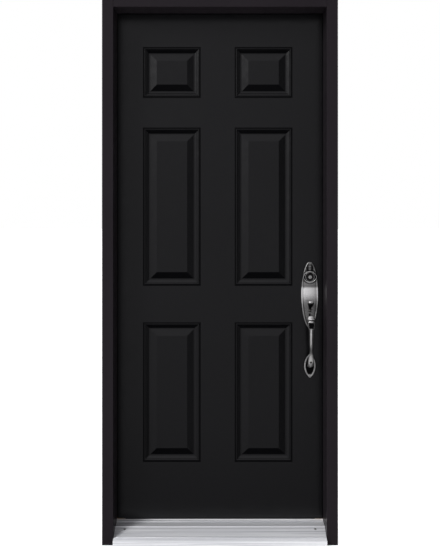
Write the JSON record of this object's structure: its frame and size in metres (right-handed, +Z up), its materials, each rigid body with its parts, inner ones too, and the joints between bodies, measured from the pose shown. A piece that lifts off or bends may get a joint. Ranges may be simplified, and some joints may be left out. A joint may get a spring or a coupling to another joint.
{
  "type": "panelled front door with its frame",
  "caption": "Black inswing steel front door with six raised panels, hung in its frame over an aluminium sill, with an arched-grip handleset and deadbolt.",
  "frame": {"origin": "floor level, middle of the frame's width, on the plane of the jambs' outside faces", "axes": "+X right as seen from outside, +Y inwards through the wall, +Z up; the hinges are on the -X side"},
  "size_m": [0.9004, 0.2467, 2.0842],
  "materials": {
    "frame_paint": "satin black paint on wood",
    "door_paint": "satin black paint on pressed steel",
    "seal": "black foam-filled vinyl",
    "substrate": "grey composite",
    "sill_aluminium": "mill-finish aluminium extrusion",
    "cap_composite": "tan composite",
    "zinc_screw": "zinc-plated steel",
    "nickel": "satin nickel-plated steel",
    "pewter": "antique pewter, dark in its hollows and worn bright on its ridges",
    "cylinder_metal": "dark and bright turned metal",
    "softwood": "bare laminated softwood",
    "foam": "rigid polyurethane foam"
  },
  "bodies": {
    "frame": {"hinge_jamb": "frame_paint", "latch_jamb": "frame_paint", "head_jamb": "frame_paint", "hinge_side_seal": "seal", "latch_side_seal": "seal", "head_seal": "seal", "corner_pads": "seal", "sill_substrate": "substrate", "sill_deck": "sill_aluminium", "threshold_cap": "cap_composite", "cap_screws": "zinc_screw", "deck_screws": "zinc_screw", "frame_screws": "zinc_screw", "latch_strike": "nickel", "deadbolt_strike": "nickel", "strike_boxes": "zinc_screw", "strike_screws": "nickel", "frame_hinge_leaves": "nickel", "frame_hinge_screws": "nickel", "hinge_pins": "nickel"},
    "door": {"exterior_skin": "door_paint", "interior_skin": "door_paint", "hinge_stile": "softwood", "latch_stile": "softwood", "top_rail": "softwood", "bottom_rail": "substrate", "lock_block": "softwood", "foam_core": "foam", "door_sweep": "seal", "door_hinge_leaves": "nickel", "door_hinge_screws": "nickel", "latch_case": "nickel", "deadbolt_case": "nickel", "faceplate_screws": "nickel", "escutcheon": "pewter", "cylinder_housing": "cylinder_metal", "thumb_pin": "nickel", "grip": "pewter", "lower_rosette": "pewter", "grip_screw": "nickel", "inner_rose": "pewter", "inner_rose_screws": "nickel", "deadbolt_inner_plate": "pewter", "deadbolt_plate_screws": "nickel"},
    "thumb": {"thumb_piece": "pewter"},
    "latch": {"latch_bolt": "nickel"},
    "knob": {"inner_knob": "pewter", "spindle": "nickel", "latch_cam": "nickel"},
    "bolt": {"deadbolt": "nickel"},
    "turn": {"thumb_turn": "pewter", "deadbolt_cam": "nickel"},
    "plug": {"key_plug": "cylinder_metal"}
  },
  "joints": [
    {"name": "door_swing", "type": "hinge", "parent": "frame", "child": "door", "pos_m": [-0.4176, 0.1794, 1.109], "axis": [0, 0, 1], "range_deg": [0, 120]},
    {"name": "knob_turn", "type": "hinge", "parent": "door", "child": "knob", "pos_m": [0.3557, 0.1667, 0.872], "axis": [0, -1, 0], "range_deg": [0, 50], "stiffness_Nm_per_rad": 0.4},
    {"name": "thumb_press", "type": "hinge", "parent": "door", "child": "thumb", "pos_m": [0.3557, 0.1172, 0.886], "axis": [1, 0, 0], "range_deg": [0, 18]},
    {"name": "latch_slide", "type": "slide", "parent": "door", "child": "latch", "axis": [-1, 0, 0], "range_m": [0, 0.0127]},
    {"name": "thumb_turn_rotate", "type": "hinge", "parent": "door", "child": "turn", "pos_m": [0.3557, 0.1667, 1.0117], "axis": [0, 1, 0], "range_deg": [0, 90]},
    {"name": "deadbolt_slide", "type": "slide", "parent": "door", "child": "bolt", "axis": [1, 0, 0], "range_m": [0, 0.0254]},
    {"name": "key_turn", "type": "hinge", "parent": "door", "child": "plug", "pos_m": [0.3557, 0.1222, 1.0117], "axis": [0, 1, 0], "range_deg": [-90, 90]}
  ],
  "couplings": [
    {"joint": "thumb_press", "follows": "knob_turn", "ratio": 0.36},
    {"joint": "latch_slide", "follows": "knob_turn", "m_per_rad": 0.014552},
    {"joint": "deadbolt_slide", "follows": "thumb_turn_rotate", "m_per_rad": 0.016169}
  ]
}
